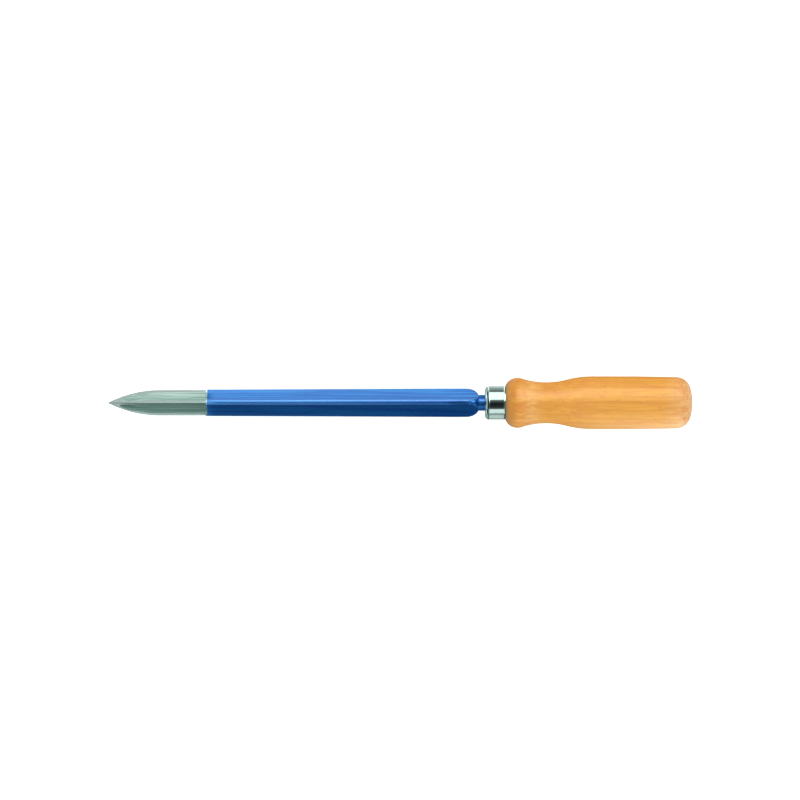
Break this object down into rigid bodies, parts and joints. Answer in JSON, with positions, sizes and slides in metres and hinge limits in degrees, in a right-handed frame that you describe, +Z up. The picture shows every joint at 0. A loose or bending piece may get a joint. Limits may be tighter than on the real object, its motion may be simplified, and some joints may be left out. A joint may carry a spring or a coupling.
{
  "type": "triangular scraper",
  "caption": "Triangular hand scraper for deburring metal: hollow-ground pointed blade with a painted shank, plated ferrule and turned wooden handle.",
  "frame": {"origin": "on the tool's axis, in the middle of the handle's straight barrel", "axes": "+X along the tool towards the butt, so the point is at -X; +Z up through the blade's ridge edge, with the opposite blade face down"},
  "size_m": [0.31, 0.028, 0.028],
  "materials": {
    "blade": "blue lacquer on the shank and neck, bright ground steel on the pointed end",
    "ferrule": "bright plated",
    "handle": "clear lacquered beech"
  },
  "bodies": {
    "root": {"blade": "blade", "ferrule": "ferrule", "handle": "handle"}
  },
  "joints": []
}
